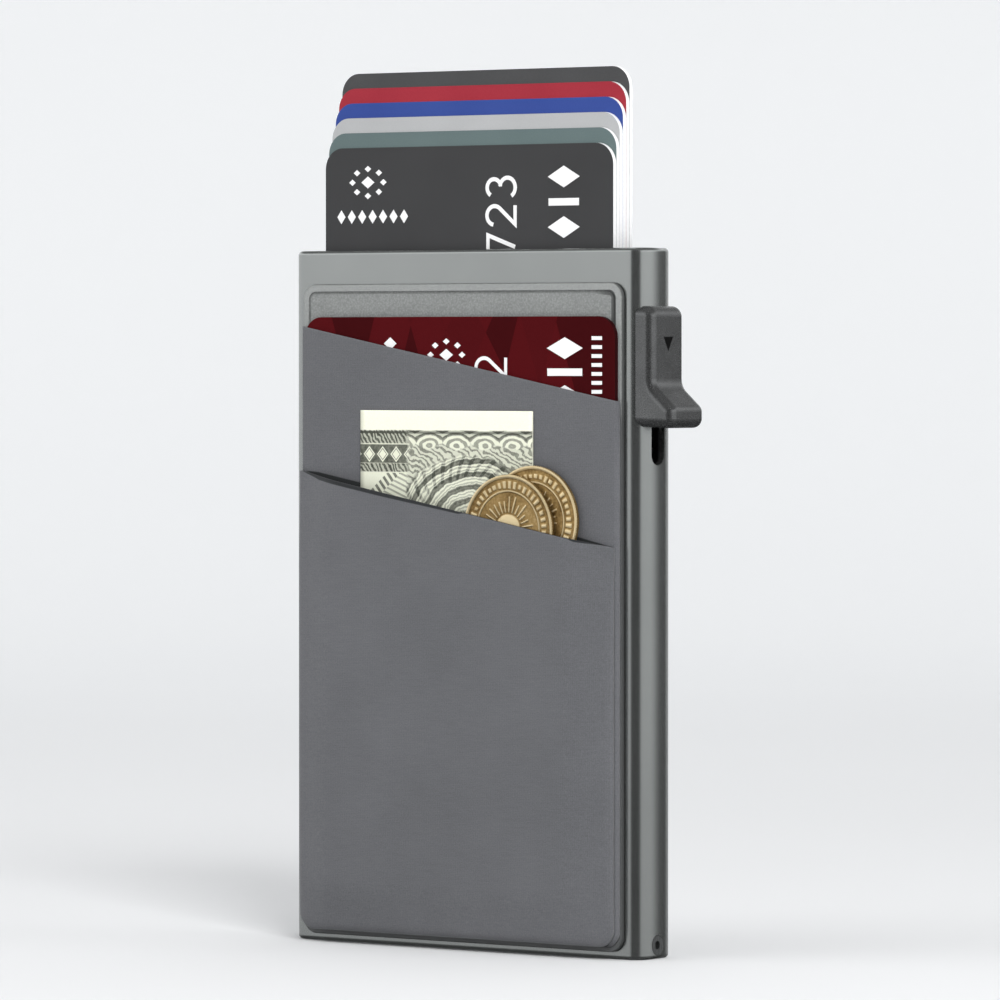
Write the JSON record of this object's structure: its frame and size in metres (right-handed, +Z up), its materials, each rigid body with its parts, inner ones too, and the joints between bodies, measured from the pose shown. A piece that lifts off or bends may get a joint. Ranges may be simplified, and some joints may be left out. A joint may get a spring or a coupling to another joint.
{
  "type": "pop-up card wallet",
  "caption": "Slim aluminium card case with a thumb slider and lever that fan the cards out of its mouth, and a front panel with stretch-fabric pockets for cards, notes and coins.",
  "frame": {"origin": "centre of the case's bottom face, on the surface it stands on", "axes": "+Z up, the way the cards rise; -Y is the front, where the fabric pockets are; +X is the slider side"},
  "size_m": [0.0709, 0.0132, 0.132],
  "materials": {
    "titanium_aluminium": "bead-blasted, titanium-grey anodised",
    "black_plastic": "moulded, fine texture",
    "dark_steel": "blackened",
    "slip_sheet": "smooth",
    "felt": "felted",
    "spring_steel": "ground",
    "slider_plastic": "moulded, fine spark texture",
    "lever_plastic": "acetal, smooth",
    "adhesive": "tacky sheet",
    "leatherette": "fine embossed grain",
    "stretch_fabric": "fine stretch knit",
    "card_charcoal": "satin print",
    "card_teal": "satin print",
    "card_pale": "satin print",
    "card_blue": "satin print",
    "card_red": "satin print",
    "card_dark": "satin print",
    "card_maroon": "faceted print",
    "note_paper": "uncoated",
    "coin_gold": "struck"
  },
  "bodies": {
    "case": {"case_shell": "titanium_aluminium", "bottom_plug": "black_plastic", "plug_screws": "dark_steel", "top_bezel": "black_plastic", "left_guide_rail": "black_plastic", "right_guide_rail": "black_plastic", "front_liner": "slip_sheet", "brake_pad": "felt", "brake_leaf_spring": "spring_steel", "lever_pivot_pin": "spring_steel", "return_spring": "spring_steel", "pocket_adhesive": "adhesive", "pocket_base_panel": "leatherette", "upper_pocket_panel": "stretch_fabric", "lower_pocket_panel": "stretch_fabric"},
    "slider": {"slider_button": "slider_plastic", "slider_carriage": "black_plastic", "slider_screw": "dark_steel", "push_rod": "spring_steel", "rod_yoke": "spring_steel"},
    "lever": {"eject_lever": "lever_plastic", "link_pin": "spring_steel"},
    "card_1": {"card_1": "card_charcoal"},
    "card_2": {"card_2": "card_teal"},
    "card_3": {"card_3": "card_pale"},
    "card_4": {"card_4": "card_blue"},
    "card_5": {"card_5": "card_red"},
    "card_6": {"card_6": "card_dark"},
    "pocket_card": {"pocket_card": "card_maroon"},
    "banknote": {"banknote": "note_paper"},
    "coin_back": {"coin_back": "coin_gold"},
    "coin_front": {"coin_front": "coin_gold"}
  },
  "joints": [
    {"name": "slider_press", "type": "slide", "parent": "case", "child": "slider", "axis": [0, 0, -1], "range_m": [0, 0.006], "stiffness_N_per_m": 400, "springref_m": -0.004, "deforming": ["return_spring"]},
    {"name": "lever_turn", "type": "hinge", "parent": "case", "child": "lever", "pos_m": [0.0226, 0, 0.0115], "axis": [0, 1, 0], "range_deg": [0, 50]},
    {"name": "card_1_slide", "type": "slide", "parent": "case", "child": "card_1", "axis": [0, 0, 1], "range_m": [-0.01895, 0.04]},
    {"name": "card_2_slide", "type": "slide", "parent": "case", "child": "card_2", "axis": [0, 0, 1], "range_m": [-0.02124, 0.04]},
    {"name": "card_3_slide", "type": "slide", "parent": "case", "child": "card_3", "axis": [0, 0, 1], "range_m": [-0.02353, 0.04]},
    {"name": "card_4_slide", "type": "slide", "parent": "case", "child": "card_4", "axis": [0, 0, 1], "range_m": [-0.02582, 0.04]},
    {"name": "card_5_slide", "type": "slide", "parent": "case", "child": "card_5", "axis": [0, 0, 1], "range_m": [-0.02811, 0.04]},
    {"name": "card_6_slide", "type": "slide", "parent": "case", "child": "card_6", "axis": [0, 0, 1], "range_m": [-0.0304, 0.04]},
    {"name": "pocket_card_slide", "type": "slide", "parent": "case", "child": "pocket_card", "axis": [0, 0, 1], "range_m": [-0.005, 0.06]},
    {"name": "banknote_slide", "type": "slide", "parent": "case", "child": "banknote", "axis": [0, 0, 1], "range_m": [-0.01, 0.045]},
    {"name": "coin_back_slide", "type": "slide", "parent": "case", "child": "coin_back", "axis": [0, 0, 1], "range_m": [-0.045, 0.018]},
    {"name": "coin_front_slide", "type": "slide", "parent": "case", "child": "coin_front", "axis": [0, 0, 1], "range_m": [-0.045, 0.018]}
  ],
  "couplings": [
    {"joint": "lever_turn", "follows": "slider_press", "rad_per_m": 145.44}
  ]
}
